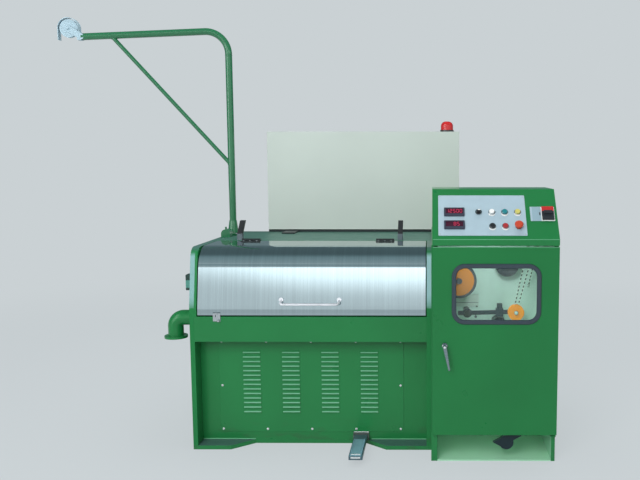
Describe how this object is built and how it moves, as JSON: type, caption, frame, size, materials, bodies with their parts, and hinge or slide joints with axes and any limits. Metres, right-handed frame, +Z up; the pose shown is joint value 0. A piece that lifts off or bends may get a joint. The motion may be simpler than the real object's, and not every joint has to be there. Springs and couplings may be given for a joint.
{
  "type": "wire drawing machine",
  "caption": "Fine wire drawing machine with a hinged steel cover over its drawing chamber, a take-up cabinet with a windowed door and sloped console, an inlet arm and a rear cabinet.",
  "frame": {"origin": "middle of the drawing unit's base plate, on the floor", "axes": "+X along the front to the operator's right, +Y away from the operator, +Z up"},
  "size_m": [2.6715, 1.367, 2.2156],
  "materials": {
    "green_paint": "gloss",
    "cream_paint": "satin",
    "liner_paint": "satin",
    "tread_paint": "satin",
    "face_plate": "satin",
    "brushed_cover": "brushed",
    "bright_steel": "turned",
    "ground_steel": "ground",
    "black_steel": "satin",
    "chrome": "polished",
    "stop_rubber": "matte",
    "gasket_rubber": "matte",
    "window_glass": "clear",
    "orange_plastic": "gloss",
    "black_plastic": "satin",
    "white_plastic": "gloss",
    "teal_plastic": "gloss",
    "yellow_plastic": "gloss",
    "red_plastic": "gloss",
    "beacon_red": "translucent"
  },
  "bodies": {
    "machine": {"base_plate": "green_paint", "left_side_plate": "green_paint", "right_side_plate": "green_paint", "front_fascia": "green_paint", "recess_wall": "green_paint", "louvre_panel": "green_paint", "back_wall": "green_paint", "top_plate": "green_paint", "drawing_tank": "green_paint", "drawing_cones": "ground_steel", "die_bar": "ground_steel", "cover_hinge_fixed": "black_steel", "cover_stops": "stop_rubber", "arm_pole": "green_paint", "arm_boom": "green_paint", "arm_brace": "green_paint", "pole_socket": "green_paint", "arm_lock_block": "green_paint", "pulley_fork": "bright_steel", "drain_elbow": "green_paint", "wire_inlet_guide": "bright_steel", "pedal_bracket": "black_steel", "electrical_cabinet": "cream_paint", "electrical_cabinet_door": "cream_paint", "cabinet_brackets": "black_steel", "beacon": "beacon_red", "cabinet_sides": "green_paint", "cabinet_top_and_back": "green_paint", "cabinet_liner": "liner_paint", "door_pivots": "black_steel", "control_console": "green_paint", "console_face_plates": "face_plate", "panel_meters": "black_plastic", "button_bezels": "chrome", "breaker": "black_plastic", "inner_shafts": "bright_steel", "inner_brackets": "liner_paint"},
    "cover": {"cover": "brushed_cover", "cover_hinge_moving": "black_steel", "cover_handle": "chrome", "cover_latch": "chrome"},
    "door": {"cabinet_door": "green_paint", "window_gasket": "gasket_rubber", "window_glass": "window_glass"},
    "lever": {"door_lever": "chrome"},
    "pedal": {"foot_pedal": "black_steel", "pedal_tread": "tread_paint"},
    "guide_wheel": {"guide_wheel_disc": "orange_plastic", "guide_wheel_rim": "black_plastic"},
    "dancer": {"dancer_arm": "bright_steel", "dancer_weight": "black_steel"},
    "dancer_roller": {"dancer_pulley": "orange_plastic"},
    "inlet_pulley": {"arm_pulley": "bright_steel"},
    "white_button": {"button_white": "white_plastic"},
    "teal_button": {"button_teal": "teal_plastic"},
    "yellow_button": {"button_yellow": "yellow_plastic"},
    "black_button": {"button_black": "black_plastic"},
    "red_button": {"button_red": "red_plastic"},
    "stop_button": {"emergency_stop": "red_plastic"},
    "selector": {"selector_switch": "black_plastic"}
  },
  "joints": [
    {"name": "cover_hinge", "type": "hinge", "parent": "machine", "child": "cover", "pos_m": [0, -0.087, 1.006], "axis": [-1, 0, 0], "range_deg": [0, 135]},
    {"name": "door_hinge", "type": "hinge", "parent": "machine", "child": "door", "pos_m": [1.17, -0.61, 0.136], "axis": [0, 0, 1], "range_deg": [0, 110]},
    {"name": "lever_turn", "type": "hinge", "parent": "door", "child": "lever", "pos_m": [0.65, -0.617, 0.566], "axis": [0, -1, 0], "range_deg": [0, 90]},
    {"name": "pedal_press", "type": "hinge", "parent": "machine", "child": "pedal", "pos_m": [0.235, -0.392, 0.042], "axis": [1, 0, 0], "range_deg": [0, 5], "stiffness_Nm_per_rad": 40, "springref_deg": -8.59},
    {"name": "guide_wheel_spin", "type": "hinge", "parent": "machine", "child": "guide_wheel", "pos_m": [0.725, -0.3625, 0.831], "axis": [0, 1, 0], "continuous": true},
    {"name": "dancer_swing", "type": "hinge", "parent": "machine", "child": "dancer", "pos_m": [0.767, -0.3545, 0.667], "axis": [0, 1, 0], "range_deg": [-12, 12]},
    {"name": "dancer_roller_spin", "type": "hinge", "parent": "dancer", "child": "dancer_roller", "pos_m": [1.007, -0.3725, 0.673], "axis": [0, 1, 0], "continuous": true},
    {"name": "inlet_pulley_spin", "type": "hinge", "parent": "machine", "child": "inlet_pulley", "pos_m": [-1.436, 0.233, 2.15711], "axis": [0, 1, 0], "continuous": true},
    {"name": "white_press", "type": "slide", "parent": "machine", "child": "white_button", "axis": [0, 0.7526, -0.6585], "range_m": [0, 0.004], "stiffness_N_per_m": 500, "springref_m": -0.002},
    {"name": "teal_press", "type": "slide", "parent": "machine", "child": "teal_button", "axis": [0, 0.7526, -0.6585], "range_m": [0, 0.004], "stiffness_N_per_m": 500, "springref_m": -0.002},
    {"name": "yellow_press", "type": "slide", "parent": "machine", "child": "yellow_button", "axis": [0, 0.7526, -0.6585], "range_m": [0, 0.004], "stiffness_N_per_m": 500, "springref_m": -0.002},
    {"name": "black_press", "type": "slide", "parent": "machine", "child": "black_button", "axis": [0, 0.7526, -0.6585], "range_m": [0, 0.004], "stiffness_N_per_m": 500, "springref_m": -0.002},
    {"name": "red_press", "type": "slide", "parent": "machine", "child": "red_button", "axis": [0, 0.7526, -0.6585], "range_m": [0, 0.004], "stiffness_N_per_m": 500, "springref_m": -0.002},
    {"name": "stop_press", "type": "slide", "parent": "machine", "child": "stop_button", "axis": [0, 0.7526, -0.6585], "range_m": [0, 0.004]},
    {"name": "selector_turn", "type": "hinge", "parent": "machine", "child": "selector", "pos_m": [0.809, -0.51559, 1.1769], "axis": [0, -0.7526, 0.6585], "range_deg": [-45, 45]}
  ]
}
